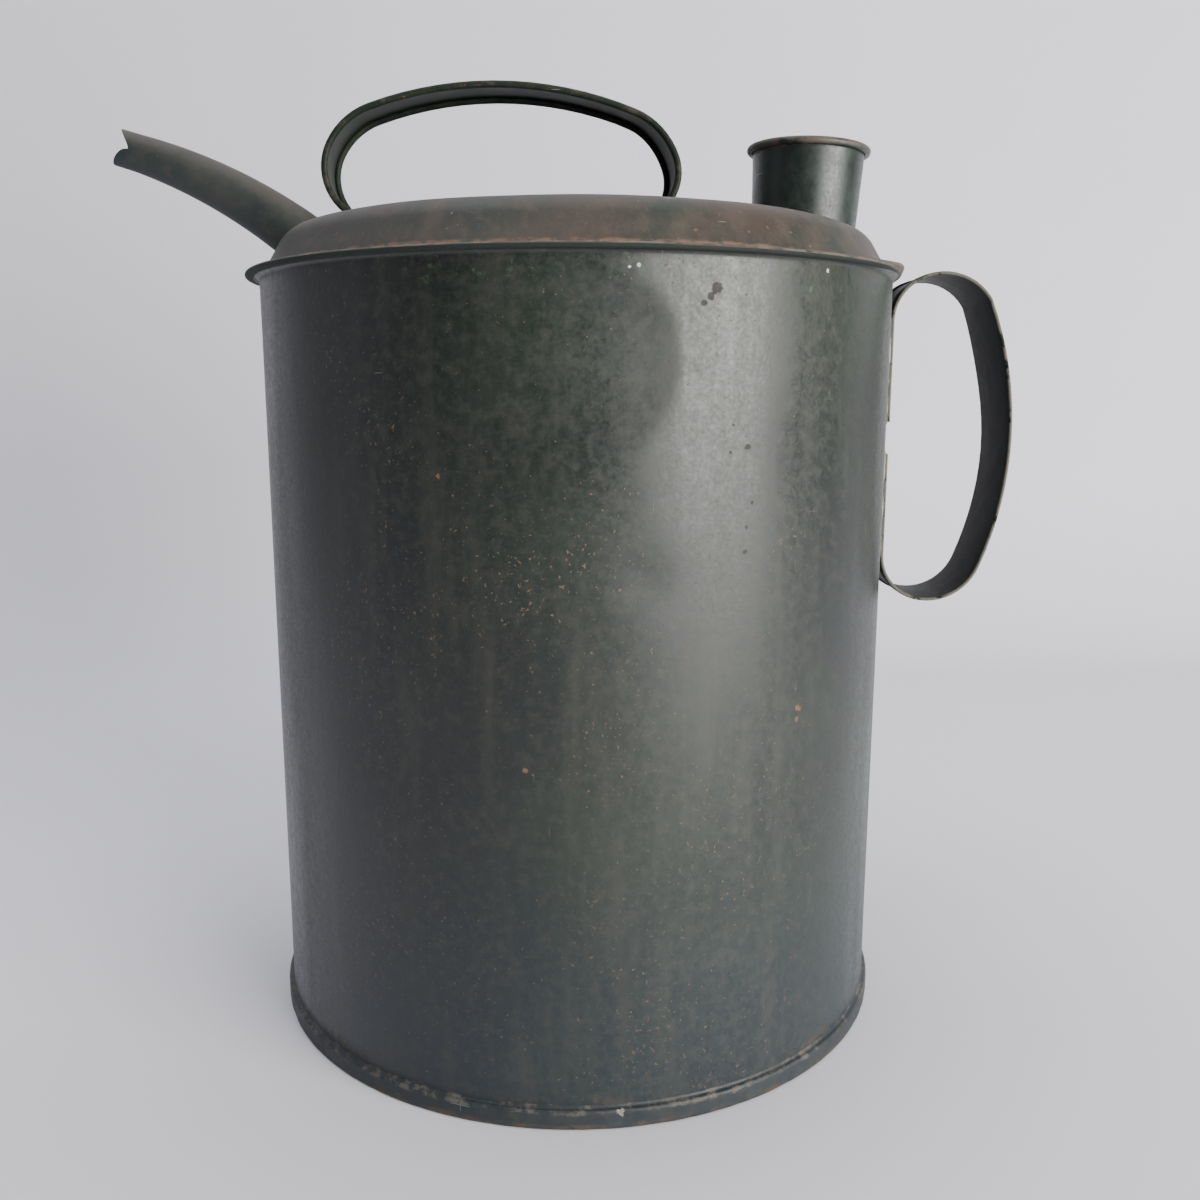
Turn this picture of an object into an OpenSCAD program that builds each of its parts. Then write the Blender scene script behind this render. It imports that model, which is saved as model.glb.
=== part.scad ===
// Sheet-metal oil can: a drum body with a domed top, a curved pouring spout, a wired strap handle
// on top, a hemmed side handle and a filler neck with a push-in lid.
// Millimetres, +Z up. The origin is on the drum's axis at the floor; the spout points to -X and
// the side handle to +X, so the plane Y = 0 holds every fitting.

/* [Body] */
// Outside diameter of the drum wall
body_d = 220; // [216:1:224]
// Height of the flange's top face above the floor
body_h = 260; // [252:1:268]
// Thickness of the tinned sheet
sheet_t = 0.6; // [0.5:0.05:0.7]
// How far the top flange stands out from the wall
flange_out = 4.6; // [4.2:0.1:5.4]
// Inside radius of the bend that turns the wall into the flange
flare_r = 1.5; // [1:0.1:2]
// Width of the hem folded under the flange
hem_w = 2.6; // [2.2:0.1:3]
// Height of the band formed by the bottom seam
band_h = 6.5; // [6:0.1:8]
// Height of the recessed bottom sheet above the floor
pan_h = 6; // [5.5:0.1:7]
// Width of the lock seam up the back of the wall
side_seam_w = 6; // [4:0.5:8]

/* [Dome] */
// Radius of the dome's side where it meets the flange
dome_base_r = 108.6; // [107.6:0.1:108.8]
// Height of the dome's sloping side below the shoulder
dome_side_h = 9.4; // [8.8:0.1:10]
// Lean of the dome's side, in degrees from upright
dome_draft = 30; // [28:0.5:31]
// Radius of the rounded shoulder
shoulder_r = 11; // [10:0.5:12]
// Slope of the crown where it leaves the shoulder, in degrees
crown_slope = 7; // [6:0.5:8]

/* [Spout] */
// Distance of the notches in the spout's mouth from the drum's axis
spout_reach = 155; // [153:0.1:157]
// Height of the middle of the mouth
spout_tip_z = 303.5; // [302.5:0.1:305]
// Outside diameter at the mouth
spout_tip_d = 12.6; // [11:0.1:14]
// Outside diameter at the dome
spout_root_d = 19; // [18:0.1:20]
// Slope of the spout at the mouth, in degrees
spout_tip_slope = 16.4; // [16:0.1:17]
// Slope of the spout at the dome, in degrees
spout_root_slope = 38; // [37.5:0.5:38.5]
// Radius of the spout's curve
spout_bend_r = 175; // [174:1:177]
// How far the two lips stand out past the side notches
lip_len = 5.6; // [4.6:0.1:6]

/* [Filler] */
// Distance of the filler mouth from the drum's axis
filler_x = 81.8; // [80:0.1:82]
// Height of the filler's rim
filler_z = 306; // [304:0.5:308]
// Outside diameter of the rolled rim
filler_rim_d = 43.4; // [42:0.1:44]
// Lean of the neck away from the drum's axis, in degrees
filler_tilt = 2.4; // [2:0.1:3]
// Half angle of the neck's taper, in degrees
filler_taper = 3; // [2.5:0.1:3.5]
// Outside diameter of the roll at the rim
rim_roll_d = 2.6; // [2.4:0.1:3]

/* [Lid] */
// Depth of the push-in lid
lid_h = 14; // [12:0.5:16]
// Depth of the lid's edge below the rim
lid_inset = 2; // [1.5:0.1:3]
// Gap between the lid and the neck
lid_gap = 0.3; // [0.25:0.05:0.4]
// Wire diameter of the pull ring
ring_wire_d = 1.8; // [1.6:0.1:2]
// Mean radius of the pull ring
ring_r = 8; // [7:0.5:8.5]

/* [Top handle] */
// Width of the carrying strap
top_w = 24; // [22:0.5:26]
// Diameter of the rolled edges
top_roll_d = 2.4; // [2.2:0.1:2.6]

/* [Side handle] */
// Width of the pouring handle's strip
side_w = 28; // [26:0.5:30]
// Width of the folded hems
side_hem_w = 5; // [4:0.5:6]
// Height of the end of the upper leg
side_top_leg_z = 210.8; // [208:0.1:213]
// Height of the top of the upper leg, where the loop leaves the wall
side_top_z = 246; // [244:0.1:246.5]
// Length of the lower leg
side_low_leg = 36.6; // [35:0.1:40]

/* [Hidden] */
$fn = 96;

paint = "#26362f";
dome_paint = "#4a443a";
worn_metal = "#8b8577";
solder_grey = "#a3a196";

body_r = body_d / 2;
flange_r = body_r + flange_out;
flare_z = body_h - 2 * sheet_t - flare_r;
seam_gap = 0.5;
band_r = body_r + 3 * sheet_t;

// Points on an arc, from angle a0 to angle a1
function arc(c, r, a0, a1, n) = [for (i = [0:n]) let (a = a0 + (a1 - a0) * i / n)
    [c[0] + r * cos(a), c[1] + r * sin(a)]];
function backwards(p) = [for (i = [len(p) - 1:-1:0]) p[i]];

// ---- Dome: side, shoulder and crown are tangent to each other ----
side_top = [dome_base_r - dome_side_h * tan(dome_draft), body_h + dome_side_h];
shoulder_c = side_top - shoulder_r * [cos(dome_draft), sin(dome_draft)];
crown_edge = shoulder_c + shoulder_r * [sin(crown_slope), cos(crown_slope)];
crown_r = crown_edge[0] / sin(crown_slope);
crown_c = [0, crown_edge[1] - crown_r * cos(crown_slope)];
root_r = 1.5;
root_c = [dome_base_r - root_r * tan(dome_draft) + root_r / cos(dome_draft), body_h + root_r];

// The dome's profile from the axis out to the flange, moved outwards by grow
function dome_line(grow) = concat(
    arc(crown_c, crown_r + grow, 90, 90 - crown_slope, 8),
    arc(shoulder_c, shoulder_r + grow, 90 - crown_slope, dome_draft, 14),
    arc(root_c, root_r - grow, 180 + dome_draft, 270, 4));

dome_sink = 4;

module dome_solid(grow) {
    rotate_extrude()
        polygon(concat(dome_line(grow), [[root_c[0], body_h - dome_sink], [0, body_h - dome_sink]]));
}

// The thin layer of space that hugs the outside of the dome
module dome_skin(thick) {
    difference() {
        dome_solid(thick);
        dome_solid(0);
    }
}

// ---- Bent strips: a path is a list of [0, length] straights and [radius, sweep] right turns ----
function step_on(p, seg) = seg[0] == 0
    ? [p[0] + seg[1] * cos(p[2]), p[1] + seg[1] * sin(p[2]), p[2]]
    : let (c = [p[0] + seg[0] * sin(p[2]), p[1] - seg[0] * cos(p[2])], a = p[2] + 90 - seg[1])
        [c[0] + seg[0] * cos(a), c[1] + seg[0] * sin(a), p[2] - seg[1]];
function pose_at(start, path, i) = i == 0 ? start : step_on(pose_at(start, path, i - 1), path[i - 1]);

// The poses along a path, close enough together to keep each bend within chord_gap of its arc
chord_gap = 0.05;
function arc_steps(seg) = seg[0] == 0 ? 1 : ceil(seg[1] / (2 * acos(1 - chord_gap / seg[0])));
function poses_along(start, path) = [start, for (i = [0:len(path) - 1])
    let (p = pose_at(start, path, i), n = arc_steps(path[i]))
        for (k = [1:n]) step_on(p, [path[i][0], path[i][1] * k / n])];

// Sweeps an outline along the path in the plane Y = 0: its first coordinate points to the outside
// of the bends and its second runs across the strip. caps splits the end face into simple faces.
module swept(outline, start, path, caps = []) {
    end_faces = len(caps) > 0 ? caps : [[for (j = [0:len(outline) - 1]) j]];
    poses = poses_along(start, path);
    n = len(outline);
    last = (len(poses) - 1) * n;
    points = [for (p = poses) for (q = outline)
        [p[0] - q[0] * sin(p[2]), q[1], p[1] + q[0] * cos(p[2])]];
    sides = [for (i = [0:len(poses) - 2]) for (j = [0:n - 1]) let (k = (j + 1) % n)
        each [[i * n + j, i * n + k, (i + 1) * n + k], [i * n + j, (i + 1) * n + k, (i + 1) * n + j]]];
    polyhedron(points = points, faces = concat(
        sides, [for (f = end_faces) backwards(f)], [for (f = end_faces) [for (j = f) last + j]]));
}

// ---- Top handle: outer face of the strap, from the foot near the spout to the foot by the filler ----
top_arcs = [[18.5, 80], [26, 43], [132.4, 40.5], [26, 48.5], [16.2, 56.4]];
top_anchor = [-80.8, body_h + 21.9, 142.5];
foot_r = 6;
foot_tab = 11;
top_end = pose_at(top_anchor, top_arcs, len(top_arcs));

// Length of the straight leg that brings a foot's bend down onto the crown: from a point, along a
// heading, with the bend's centre on the right (side = 1) or on the left (side = -1)
function leg_to_crown(p, side) = let (
        d = [cos(p[2]), sin(p[2])],
        q = [p[0] + side * foot_r * d[1], p[1] - side * foot_r * d[0]] - crown_c,
        b = q * d)
    -b - sqrt(b * b - q * q + pow(crown_r + foot_r, 2));
function foot_centre(p, side) = let (k = leg_to_crown(p, side), d = [cos(p[2]), sin(p[2])])
    [p[0] + k * d[0] + side * foot_r * d[1], p[1] + k * d[1] - side * foot_r * d[0]];
function crown_lean(c) = asin((c[0] - crown_c[0]) / (crown_r + foot_r));

spout_foot_pose = [top_anchor[0], top_anchor[1], top_anchor[2] + 180];
spout_foot_c = foot_centre(spout_foot_pose, -1);
spout_foot_lean = crown_lean(spout_foot_c);
spout_foot_leg = leg_to_crown(spout_foot_pose, -1);
filler_foot_leg = leg_to_crown(top_end, 1);
filler_foot_c = foot_centre(top_end, 1);
filler_foot_lean = crown_lean(filler_foot_c);

spout_tab_heading = 180 - spout_foot_lean;
top_start = [
    spout_foot_c[0] - foot_r * sin(spout_foot_lean) + foot_tab * cos(spout_foot_lean),
    spout_foot_c[1] - foot_r * cos(spout_foot_lean) - foot_tab * sin(spout_foot_lean),
    spout_tab_heading];
top_path = concat(
    [[0, foot_tab], [foot_r, spout_tab_heading - top_anchor[2]], [0, spout_foot_leg]],
    top_arcs,
    [[0, filler_foot_leg], [foot_r, top_end[2] + 180 + filler_foot_lean], [0, foot_tab]]);

// ---- Side handle: middle of the strip, up the wall, round the loop and up the wall again ----
solder_film = 0.3;
side_x = body_r + solder_film + sheet_t;
side_start = [side_x, side_top_leg_z, 90];
side_path = [
    [0, side_top_z - side_top_leg_z],
    [16, 65], [20, 78.8], [6, 13.3], [124, 44.8], [19.4, 89.3], [16.3, 68.8],
    [0, side_low_leg]];
side_end = pose_at(side_start, side_path, len(side_path));

// ---- Filler: drawn about the neck's own axis, with the rim's top at zero ----
neck_in_r = filler_rim_d / 2 - rim_roll_d;
neck_len = 35;
function neck_r(z) = neck_in_r + (z + rim_roll_d / 2) * tan(filler_taper);
lid_floor_z = -lid_inset - lid_h + sheet_t;
function lid_r(z) = neck_r(z) - lid_gap;

module at_filler() {
    translate([filler_x, 0, filler_z])
        rotate([0, filler_tilt, 0]) children();
}

module neck_solid(grow) {
    rotate_extrude()
        polygon([[0, 0], [neck_r(0) + grow, 0], [neck_r(-neck_len) + grow, -neck_len], [0, -neck_len]]);
}

// ---- Body ----
module body_shell() {
    color(paint) {
        rotate_extrude($fn = 180)
            polygon(concat(
                [[body_r - sheet_t, sheet_t]],
                arc([body_r + flare_r, flare_z], flare_r + sheet_t, 180, 90, 6),
                [[flange_r - sheet_t, body_h - sheet_t], [flange_r - sheet_t, body_h - 2 * sheet_t]],
                arc([body_r + flare_r, flare_z], flare_r, 90, 180, 6),
                [[body_r, 2 * sheet_t], [body_r + sheet_t, 2 * sheet_t],
                 [body_r + sheet_t, band_h - sheet_t - seam_gap],
                 [body_r + 2 * sheet_t, band_h - sheet_t - seam_gap],
                 [body_r + 2 * sheet_t, sheet_t]]));
        lock_seam();
    }
}

seam_a = side_seam_w / body_r * 180 / PI;
seam_end_gap = 2;

// The folded lock up the back of the wall
module lock_seam() {
    folds_t = 2.5 * sheet_t;
    rotate([0, 0, 90 - seam_a / 2])
        rotate_extrude(angle = seam_a, $fn = 180)
            translate([body_r - sheet_t / 2, band_h + seam_end_gap])
                square([folds_t, flare_z - band_h - 2 * seam_end_gap]);
}

// A soft bead along each side of the lock
module side_seam_solder() {
    bead_w = 1.6;
    bead_t = 0.7;
    bead_a = bead_w / body_r * 180 / PI;
    color(solder_grey)
        for (a = [90 - seam_a / 2 - bead_a, 90 + seam_a / 2])
            rotate([0, 0, a])
                rotate_extrude(angle = bead_a, $fn = 180)
                    translate([body_r, band_h + 2 * seam_end_gap])
                        square([bead_t, flare_z - band_h - 4 * seam_end_gap]);
}

// Recessed bottom, folded down inside the wall, out under it and up over its hook
module bottom_plate() {
    edge_r = 1;
    color(paint)
        rotate_extrude($fn = 180)
            polygon(concat(
                [[0, pan_h], [body_r - sheet_t, pan_h], [body_r - sheet_t, sheet_t],
                 [body_r + 2 * sheet_t, sheet_t], [body_r + 2 * sheet_t, band_h - sheet_t],
                 [body_r + sheet_t, band_h - sheet_t], [body_r + sheet_t, 2 * sheet_t + seam_gap],
                 [body_r, 2 * sheet_t + seam_gap], [body_r, band_h]],
                arc([band_r - edge_r, band_h - edge_r], edge_r, 90, 0, 5),
                arc([band_r - edge_r, edge_r], edge_r, 0, -90, 5),
                [[body_r - 2 * sheet_t, 0], [body_r - 2 * sheet_t, pan_h - sheet_t],
                 [0, pan_h - sheet_t]]));
}

module bottom_seam_solder() {
    fillet = 1.1;
    color(solder_grey)
        rotate_extrude($fn = 180)
            polygon(concat([[body_r, band_h]],
                arc([body_r + fillet, band_h + fillet], fillet, 270, 180, 4)));
}

// ---- Dome ----
module top_dome() {
    color(dome_paint)
        difference() {
            rotate_extrude($fn = 180)
                polygon(concat(
                    dome_line(0),
                    arc([flange_r - sheet_t, body_h - sheet_t], sheet_t, 90, 0, 3),
                    arc([flange_r - sheet_t, body_h - 2 * sheet_t], sheet_t, 0, -90, 3),
                    [[flange_r - hem_w, body_h - 3 * sheet_t], [flange_r - hem_w, body_h - 2 * sheet_t],
                     [flange_r - sheet_t, body_h - 2 * sheet_t], [flange_r - sheet_t, body_h - sheet_t]],
                    backwards(dome_line(-sheet_t))));
            at_filler() neck_solid(sheet_t);
            at_spout_root() cylinder(h = spout_hole_len, d = spout_root_d, center = true);
        }
}

// Runs in the corner between the hem's edge and the wall's flare
module top_seam_solder() {
    z = body_h - 3 * sheet_t;
    color(solder_grey)
        rotate_extrude($fn = 180)
            polygon([[flange_r - hem_w, z + sheet_t], [flange_r - hem_w, z],
                     [body_r + flare_r, z + sheet_t]]);
}

// ---- Spout ----
spout_t = 0.8;
spout_steps = 16;
spout_sides = 36;
spout_hole_len = 60;
spout_c = [-spout_reach, spout_tip_z] - spout_bend_r * [sin(spout_tip_slope), cos(spout_tip_slope)];
function spout_point(a) = spout_c + spout_bend_r * [sin(a), cos(a)];
function spout_down(a) = [cos(a), -sin(a)];
function spout_up(a) = [sin(a), cos(a)];
spout_root = spout_point(spout_root_slope);
// The cut end lies just inside the dome, along the chord from its side to its crown
chord_a = 22.8;
cut_normal = [sin(chord_a), -cos(chord_a)];
cut_inset = [4.5, -5.3];
cut_point = spout_root + cut_inset;

// Side view of the mouth: how far the edge reaches past the notch at height v, on a tube of radius r.
// The upper lip is pointed and the lower lip is round.
upper_lip_power = 1.3;
lower_lip_power = 0.5;
function lip(v, r) = lip_len * pow(min(abs(v) / r, 1), v > 0 ? upper_lip_power : lower_lip_power);
function spout_ring(i, inset) = let (
        k = i / spout_steps,
        a = spout_tip_slope + (spout_root_slope - spout_tip_slope) * k,
        full = (spout_tip_d + (spout_root_d - spout_tip_d) * k) / 2,
        c = spout_point(a))
    [for (j = [0:spout_sides - 1]) let (
            u = (full - inset) * cos(360 * j / spout_sides),
            w = (full - inset) * sin(360 * j / spout_sides),
            reach = i == 0 ? -lip(u, full) : 0,
            p = c + u * spout_up(a) + reach * spout_down(a),
            run = i == spout_steps ? ((cut_point - p) * cut_normal) / (spout_down(a) * cut_normal) : 0,
            q = p + run * spout_down(a))
        [q[0], w, q[1]]];

module spout_tube() {
    n = spout_sides;
    m = spout_steps + 1;
    walls = [for (i = [0:spout_steps]) each spout_ring(i, 0)];
    bores = [for (i = [0:spout_steps]) each spout_ring(i, spout_t)];
    skin = [for (i = [0:m - 2]) for (j = [0:n - 1]) let (k = (j + 1) % n)
        each [[i * n + j, (i + 1) * n + j, (i + 1) * n + k], [i * n + j, (i + 1) * n + k, i * n + k]]];
    lining = [for (f = skin) [f[2] + m * n, f[1] + m * n, f[0] + m * n]];
    ends = [for (j = [0:n - 1]) let (k = (j + 1) % n, b = m * n, e = (m - 1) * n)
        each [[j, k, b + k], [j, b + k, b + j],
              [e + k, e + j, b + e + j], [e + k, b + e + j, b + e + k]]];
    color(paint)
        polyhedron(points = concat(walls, bores), faces = concat(skin, lining, ends));
}

module at_spout_root() {
    translate([spout_root[0], 0, spout_root[1]])
        rotate([0, 90 + spout_root_slope, 0]) children();
}

module spout_solder() {
    collar = 2.2;
    bead_t = 1.5;
    bite = 0.1;
    color(solder_grey)
        intersection() {
            dome_skin(bead_t);
            at_spout_root()
                difference() {
                    cylinder(h = spout_hole_len, d = spout_root_d + 2 * collar, center = true);
                    cylinder(h = spout_hole_len + 2, d = spout_root_d - 2 * bite, center = true);
                }
        }
}

// ---- Filler ----
module filler_neck() {
    roll_r = rim_roll_d / 2;
    color(paint)
        at_filler()
            rotate_extrude() {
                polygon([[neck_r(-roll_r), -roll_r], [neck_r(-neck_len), -neck_len],
                         [neck_r(-neck_len) + sheet_t, -neck_len], [neck_r(-roll_r) + sheet_t, -roll_r]]);
                translate([neck_in_r + roll_r, -roll_r])
                    difference() {
                        circle(r = roll_r, $fn = 32);
                        circle(r = roll_r - sheet_t, $fn = 32);
                    }
            }
}

module filler_rim_wire() {
    color(worn_metal)
        at_filler()
            rotate_extrude()
                translate([neck_in_r + rim_roll_d / 2, -rim_roll_d / 2])
                    circle(r = rim_roll_d / 2 - sheet_t, $fn = 32);
}

module filler_solder() {
    collar = 1.6;
    bead_t = 1.3;
    color(solder_grey)
        intersection() {
            dome_skin(bead_t);
            at_filler()
                difference() {
                    neck_solid(sheet_t + collar);
                    neck_solid(sheet_t);
                }
        }
}

// ---- Lid ----
module filler_lid() {
    top = -lid_inset;
    low = -lid_inset - lid_h;
    curl = 1.4;
    color(paint)
        at_filler()
            rotate_extrude()
                polygon([[0, low], [lid_r(low), low], [lid_r(top), top], [lid_r(top) - curl, top],
                         [lid_r(top) - curl, top - sheet_t], [lid_r(top - sheet_t) - sheet_t, top - sheet_t],
                         [lid_r(lid_floor_z) - sheet_t, lid_floor_z], [0, lid_floor_z]]);
}

bar_r = ring_wire_d / 2;
bar_lift = 0.3;
bar_play = 0.25;
bar_z = lid_floor_z + bar_r + bar_lift;
clip_in_r = bar_r + bar_play;
clip_w = 5;
clip_foot = 5;

// A bridge of strip that holds the ring's bar, with a foot on each side
module lid_ring_clip() {
    out_r = clip_in_r + sheet_t;
    rise = bar_z - lid_floor_z;
    color(worn_metal)
        at_filler()
            translate([0, clip_w / 2, lid_floor_z])
                rotate([90, 0, 0])
                    linear_extrude(clip_w)
                        polygon(concat(
                            [[-clip_foot, 0], [-clip_in_r, 0]],
                            arc([0, rise], clip_in_r, 180, 0, 16),
                            [[clip_in_r, 0], [clip_foot, 0], [clip_foot, sheet_t], [out_r, sheet_t]],
                            arc([0, rise], out_r, 0, 180, 16),
                            [[-out_r, sheet_t], [-clip_foot, sheet_t]]));
}

module lid_clip_solder() {
    margin = 1;
    bead_t = 0.4;
    color(solder_grey)
        at_filler()
            for (side = [-1, 1])
                translate([side * (clip_foot + margin / 2), 0, lid_floor_z + bead_t / 2])
                    cube([margin, clip_w + 2 * margin, bead_t], center = true);
}

// A ring with one straight side, which is its hinge bar
module lid_pull_ring() {
    bar_share = 0.8;
    ring_c = ring_r * bar_share;
    half_bar = sqrt(ring_r * ring_r - ring_c * ring_c);
    reach = 2 * ring_r + ring_wire_d;
    color(worn_metal)
        at_filler()
            translate([0, 0, bar_z]) {
                rotate([90, 0, 0]) cylinder(h = 2 * half_bar + bar_r, r = bar_r, center = true, $fn = 32);
                intersection() {
                    translate([-ring_c, 0, 0])
                        rotate_extrude() translate([ring_r, 0]) circle(r = bar_r, $fn = 32);
                    translate([-reach, -reach / 2, -bar_r]) cube([reach, reach, ring_wire_d]);
                }
            }
}

// ---- Top handle ----
top_roll_r = top_roll_d / 2;
top_roll_y = top_w / 2 - top_roll_r;
wire_play = 0.08;
top_wire_r = top_roll_r - sheet_t - wire_play;
wire_sides = 8;

// One long edge of the strap: the sheet's edge curled inwards round its wire
curl_turn = 285;
curl_edge = concat(
    arc([-top_roll_r, top_roll_y], top_roll_r, 0, curl_turn, 8),
    arc([-top_roll_r, top_roll_y], top_roll_r - sheet_t, curl_turn, 0, 6));

module top_handle_strap() {
    far_edge = [for (q = backwards(curl_edge)) [q[0], -q[1]]];
    color(paint)
        swept(concat(curl_edge, far_edge), top_start, top_path);
}

module top_handle_wire(side) {
    color(worn_metal)
        swept(arc([-top_roll_r, side * top_roll_y], top_wire_r, 0, 360 - 360 / wire_sides, wire_sides - 1),
              top_start, top_path);
}

// Solder flooded round a foot's tab, on the crown
module tab_solder(x) {
    margin = 1.6;
    bead_t = 0.9;
    color(solder_grey)
        intersection() {
            dome_skin(bead_t);
            translate([x - foot_tab / 2 - margin, -top_w / 2 - margin, body_h])
                cube([foot_tab + 2 * margin, top_w + 2 * margin, spout_tip_z - body_h]);
        }
}

// ---- Side handle ----
side_hem_y = side_w / 2 - side_hem_w;
side_hem_slant = 0.3;

// A strip with both long edges folded back on its outer face
module side_handle_strap() {
    t = sheet_t;
    y = side_w / 2;
    h = side_hem_y;
    foot = h - side_hem_slant;
    color(paint)
        swept([[-t, -y], [t, -y], [t, -h], [0, -foot], [0, foot], [t, h], [t, y], [-t, y], [-t, h], [-t, -h]],
              side_start, side_path, caps = [[0, 1, 2, 3, 9], [3, 4, 8, 9], [4, 5, 6, 7, 8]]);
}

// Solder that fills the wedge between the flat leg and the round wall, and the space between the hems
module leg_solder(z0, z1) {
    margin = 0.8;
    depth = 5;
    core_y = side_hem_y - side_hem_slant;
    color(solder_grey)
        difference() {
            union() {
                translate([body_r - depth, -side_w / 2 - margin, z0 - margin])
                    cube([depth + solder_film, side_w + 2 * margin, z1 - z0 + 2 * margin]);
                translate([body_r - depth, -core_y, z0])
                    cube([depth + solder_film + sheet_t, 2 * core_y, z1 - z0]);
            }
            cylinder(h = body_h, r = body_r, $fn = 720);
        }
}

body_shell();
side_seam_solder();
bottom_plate();
bottom_seam_solder();
top_dome();
top_seam_solder();
spout_tube();
spout_solder();
filler_neck();
filler_rim_wire();
filler_solder();
filler_lid();
lid_ring_clip();
lid_clip_solder();
lid_pull_ring();
top_handle_strap();
top_handle_wire(-1);  // top_handle_wire_front
top_handle_wire(1);  // top_handle_wire_back
tab_solder(spout_foot_c[0] + foot_tab / 2);  // top_handle_solder_spout_end
tab_solder(filler_foot_c[0] - foot_tab / 2);  // top_handle_solder_filler_end
side_handle_strap();
leg_solder(side_top_leg_z, side_top_z);  // side_handle_solder_upper
leg_solder(side_end[1] - side_low_leg, side_end[1]);  // side_handle_solder_lower
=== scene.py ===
# An old sheet-metal oil can: drum body, domed top, curved spout, two handles, filler neck and lid.
# Metres, +Z up, origin on the drum's axis at the floor; the spout points to -X.
import math
import bpy
import bmesh
from mathutils import Matrix, Vector, noise


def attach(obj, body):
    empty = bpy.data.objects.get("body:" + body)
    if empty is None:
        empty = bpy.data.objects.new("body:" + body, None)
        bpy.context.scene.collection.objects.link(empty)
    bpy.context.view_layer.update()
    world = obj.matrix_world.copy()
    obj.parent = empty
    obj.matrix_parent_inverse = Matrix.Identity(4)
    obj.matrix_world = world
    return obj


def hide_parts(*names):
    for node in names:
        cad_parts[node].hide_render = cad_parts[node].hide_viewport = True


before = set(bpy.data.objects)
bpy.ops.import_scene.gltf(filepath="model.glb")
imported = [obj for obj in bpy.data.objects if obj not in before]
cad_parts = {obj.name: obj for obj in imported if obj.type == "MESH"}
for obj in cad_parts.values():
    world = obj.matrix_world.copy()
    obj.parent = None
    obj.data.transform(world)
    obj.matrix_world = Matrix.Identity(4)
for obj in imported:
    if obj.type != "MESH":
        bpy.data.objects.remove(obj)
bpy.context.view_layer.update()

scene = bpy.context.scene
print("frame loaded:", len(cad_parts), "nodes")


# small helpers for meshes
def wirePoint(bm, x, z, y=0.0):
    return bm.verts.new((x, y, z))


def arcPoints(cx, cz, radius, fromDegrees, toDegrees, steps):
    # points on an arc in the XZ plane
    out = []
    for i in range(steps + 1):
        a = math.radians(fromDegrees + (toDegrees - fromDegrees) * i / steps)
        out.append((cx + radius * math.cos(a), cz + radius * math.sin(a)))
    return out


def smoothStep(low, high, value):
    t = min(1.0, max(0.0, (value - low) / (high - low)))
    return t * t * (3 - 2 * t)


def finishPiece(bm, name, body, material, replaced, sharpDegrees=40):
    bmesh.ops.remove_doubles(bm, verts=bm.verts, dist=2e-6)
    bmesh.ops.recalc_face_normals(bm, faces=bm.faces)
    mesh = bpy.data.meshes.new(name)
    bm.to_mesh(mesh)
    bm.free()
    mesh.polygons.foreach_set("use_smooth", [True] * len(mesh.polygons))
    mesh.set_sharp_from_angle(angle=math.radians(sharpDegrees))
    mesh.materials.append(material)
    piece = bpy.data.objects.new(name, mesh)
    scene.collection.objects.link(piece)
    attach(piece, body)
    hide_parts(*replaced)
    return piece


def spinProfile(profile, turns, closedProfile=False):
    # turns a profile of (radius, height) points round the Z axis
    bm = bmesh.new()
    line = [wirePoint(bm, r, z) for r, z in profile]
    pairs = list(zip(line, line[1:]))
    if closedProfile:
        pairs.append((line[-1], line[0]))
    for a, b in pairs:
        bm.edges.new((a, b))
    bmesh.ops.spin(bm, geom=bm.verts[:] + bm.edges[:], cent=(0, 0, 0), axis=(0, 0, 1),
                   angle=math.tau, steps=turns, use_merge=True)
    bmesh.ops.remove_doubles(bm, verts=bm.verts, dist=2e-6)
    return bm


def denser(profile, longest):
    # adds points along a profile so that no stretch is longer than longest
    out = [profile[0]]
    for a, b in zip(profile, profile[1:]):
        steps = max(1, math.ceil(math.dist(a, b) / longest))
        out += [(a[0] + (b[0] - a[0]) * i / steps, a[1] + (b[1] - a[1]) * i / steps)
                for i in range(1, steps + 1)]
    return out


def edgesOf(geom):
    return [g for g in geom if isinstance(g, bmesh.types.BMEdge)]


def sweepStrip(section, start, path, chord=0.00004, longest=0.004):
    # start is (x, z, heading in degrees); path holds (0, length) straights and (radius, right turn)
    # the section's points are (outwards, across), joined in order into a closed outline
    bm = bmesh.new()
    x, z, heading = start
    h = math.radians(heading)
    line = [wirePoint(bm, x - u * math.sin(h), z + u * math.cos(h), v) for u, v in section]
    for a, b in zip(line, line[1:] + line[:1]):
        bm.edges.new((a, b))
    geom = bm.verts[:] + bm.edges[:]
    for radius, amount in path:
        h = math.radians(heading)
        if radius == 0:
            step = Vector((math.cos(h), 0, math.sin(h))) * amount
            cuts = max(1, round(amount / longest))
            for _ in range(cuts):
                made = bmesh.ops.extrude_edge_only(bm, edges=edgesOf(geom))["geom"]
                fresh = {g for g in made if isinstance(g, bmesh.types.BMVert)}
                geom = list(fresh) + [e for e in edgesOf(made) if set(e.verts) <= fresh]
                bmesh.ops.translate(bm, verts=list(fresh), vec=step / cuts)
            x, z = x + step.x, z + step.z
        else:
            side = 1 if amount > 0 else -1
            cx, cz = x + side * radius * math.sin(h), z - side * radius * math.cos(h)
            steps = max(3, math.ceil(abs(amount) / math.degrees(2 * math.acos(1 - chord / radius))))
            geom = bmesh.ops.spin(bm, geom=geom, cent=(cx, 0, cz), axis=(0, 1, 0),
                                  angle=math.radians(amount), steps=steps, use_merge=False)["geom_last"]
            heading -= amount
            h = math.radians(heading)
            x, z = cx - side * radius * math.sin(h), cz + side * radius * math.cos(h)
    bmesh.ops.remove_doubles(bm, verts=bm.verts, dist=2e-6)
    return bm


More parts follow.
